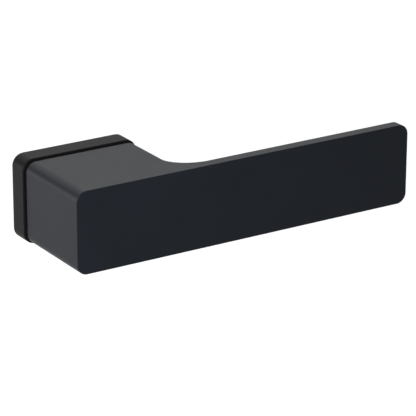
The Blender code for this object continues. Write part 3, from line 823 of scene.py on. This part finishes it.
class HANDLE_OT_bearing(bpy.types.Operator):
    """Finish the bush in the rose and the collar and washer that turn on it"""

    bl_idname = "handle.bearing"
    bl_label = "Bearing"

    def execute(self, context):
        width = context.scene.handle_sizes.edge_break
        refine("bearing_bush", "bush", "rose", "pale_plastic", width)
        refine("lever_collar", "collar", "lever", "zinc_plated_steel", width)
        refine("wave_washer", "washer", "lever", "spring_steel", width / 4)
        refine("spring_rotor", "rotor", "lever", "zinc_plated_steel", width / 2)
        refine("neck_back_plate", "back_plate", "lever", "black_plastic", width)
        return {"FINISHED"}


class HANDLE_OT_screws(bpy.types.Operator):
    """Finish the nine screws"""

    bl_idname = "handle.screws"
    bl_label = "Screws"

    def execute(self, context):
        width = context.scene.handle_sizes.edge_break / 2
        for number in (1, 2, 3, 4):
            node = f"cassette_screw_{number}"
            refine(node, f"pocket_screw_{number}", "rose", "zinc_plated_steel", width)
        for side in ("left", "right"):
            refine(f"fixing_screw_{side}", f"fixing_{side}", "rose", "zinc_plated_steel", width)
            refine(f"back_plate_screw_{side}", f"plate_screw_{side}", "lever", "dark_steel", width)
        refine("set_screw", "grub_screw", "lever", "dark_steel", width)
        return {"FINISHED"}


class HANDLE_OT_spindle(bpy.types.Operator):
    """Model the square spindle with its chamfered ends"""

    bl_idname = "handle.spindle"
    bl_label = "Spindle"

    def execute(self, context):
        sizes = context.scene.handle_sizes
        piece = block("square_spindle", SPINDLE_LOW, SPINDLE_HIGH)
        edit(piece)
        pick_edges(piece, lambda start, end: near(start.y, end.y))
        soften(sizes.spindle_chamfer, 1)
        pick_edges(piece, along_y)
        soften(sizes.edge_break, EDGE_BREAK_STEPS)
        leave_edit()
        smooth(piece)
        hand_over(piece, "spindle", "lever", "zinc_plated_steel")
        return {"FINISHED"}


class HANDLE_OT_return_spring(bpy.types.Operator):
    """Finish the return spring. In the handle its front leg winds up with the lever; here it is left on no body
    and does not move.
    """

    bl_idname = "handle.return_spring"
    bl_label = "Return spring"

    def execute(self, context):
        piece = refine("return_spring", "torsion_spring", None, "spring_steel", 0.0)
        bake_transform(piece)
        return {"FINISHED"}


# Stage


def softbox(name, place, target, width, height, power):
    data = bpy.data.lights.new(name, "AREA")
    data.shape = "RECTANGLE"
    data.size = width
    data.size_y = height
    data.energy = power
    lamp = bpy.data.objects.new(name, data)
    bpy.context.scene.collection.objects.link(lamp)
    lamp.location = place
    lamp.rotation_euler = (Vector(target) - Vector(place)).to_track_quat("-Z", "Y").to_euler()


def aim_camera(stage):
    azimuth = stage.azimuth
    elevation = stage.elevation
    back = Vector(
        (
            math.sin(azimuth) * math.cos(elevation),
            -math.cos(azimuth) * math.cos(elevation),
            math.sin(elevation),
        )
    )
    right = Vector((0.0, 0.0, 1.0)).cross(back).normalized()
    up = back.cross(right)
    across = right * math.cos(stage.roll) + up * math.sin(stage.roll)
    upward = up * math.cos(stage.roll) - right * math.sin(stage.roll)
    data = bpy.data.cameras.new("camera")
    data.lens = stage.lens
    data.sensor_width = SENSOR_WIDTH
    data.clip_start = NEAREST_VIEW
    data.clip_end = FARTHEST_VIEW
    camera = bpy.data.objects.new("camera", data)
    bpy.context.scene.collection.objects.link(camera)
    camera.matrix_world = Matrix.Translation(Vector(stage.aim) + back * stage.distance) @ Matrix(
        (across, upward, back)
    ).transposed().to_4x4()
    bpy.context.scene.camera = camera


class HANDLE_OT_stage(bpy.types.Operator):
    """Set the pale floor, the soft light and the camera"""

    bl_idname = "handle.stage"
    bl_label = "Stage"

    def execute(self, context):
        stage = context.scene.handle_stage
        bpy.ops.object.select_all(action="DESELECT")
        bpy.ops.mesh.primitive_plane_add(size=FLOOR_SIZE, location=(0.0, 0.0, CAD_LOW.z - stage.floor_drop))
        floor = context.active_object
        floor.name = "floor"
        floor.data.materials.append(floor_paint(context.scene.handle_colours))
        world = bpy.data.worlds.new("white room")
        world.use_nodes = True
        background = world.node_tree.nodes["Background"]
        background.inputs["Color"].default_value = (1.0, 1.0, 1.0, 1.0)
        background.inputs["Strength"].default_value = stage.surroundings
        context.scene.world = world
        context.scene.view_settings.view_transform = "Standard"
        middle = (CAD_LOW + CAD_HIGH) / 2
        softbox("top softbox", (0.1, 0.1, 1.1), middle, 1.2, 0.8, stage.top_light)
        softbox("back softbox", (0.4, 1.3, 0.9), (0.4, 0.7, -0.3), 2.2, 1.2, stage.back_light)
        softbox("left softbox", (-0.9, 0.9, 0.0), middle, 0.8, 0.5, stage.left_light)
        softbox("front softbox", (-0.22, -0.26, 0.10), middle, 0.06, 0.06, stage.front_light)
        aim_camera(stage)
        return {"FINISHED"}


# Panel and registration


class HANDLE_PT_panel(bpy.types.Panel):
    """Sizes, colours and the steps that build the handle"""

    bl_label = "Door lever handle"
    bl_idname = "HANDLE_PT_panel"
    bl_space_type = "VIEW_3D"
    bl_region_type = "UI"
    bl_category = "Handle"

    def draw(self, context):
        for group in (context.scene.handle_sizes, context.scene.handle_colours, context.scene.handle_stage):
            box = self.layout.box()
            for name in group.__annotations__:
                box.prop(group, name)
        for step in STEPS:
            self.layout.operator(step.bl_idname)


GROUPS = {"handle_sizes": HandleSizes, "handle_colours": HandleColours, "handle_stage": HandleStage}
STEPS = (
    HANDLE_OT_lever,
    HANDLE_OT_rose_cover,
    HANDLE_OT_base,
    HANDLE_OT_bearing,
    HANDLE_OT_screws,
    HANDLE_OT_spindle,
    HANDLE_OT_return_spring,
    HANDLE_OT_stage,
)


def register():
    for group in GROUPS.values():
        bpy.utils.register_class(group)
    for name, group in GROUPS.items():
        setattr(bpy.types.Scene, name, bpy.props.PointerProperty(type=group))
    for step in STEPS:
        bpy.utils.register_class(step)
    bpy.utils.register_class(HANDLE_PT_panel)


def unregister():
    bpy.utils.unregister_class(HANDLE_PT_panel)
    for step in reversed(STEPS):
        bpy.utils.unregister_class(step)
    for name in GROUPS:
        delattr(bpy.types.Scene, name)
    for group in reversed(GROUPS.values()):
        bpy.utils.unregister_class(group)


def main():
    register()
    bpy.ops.handle.lever()
    bpy.ops.handle.rose_cover()
    bpy.ops.handle.base()
    bpy.ops.handle.bearing()
    bpy.ops.handle.screws()
    bpy.ops.handle.spindle()
    bpy.ops.handle.return_spring()
    bpy.ops.handle.stage()


if __name__ == "__main__":
    main()
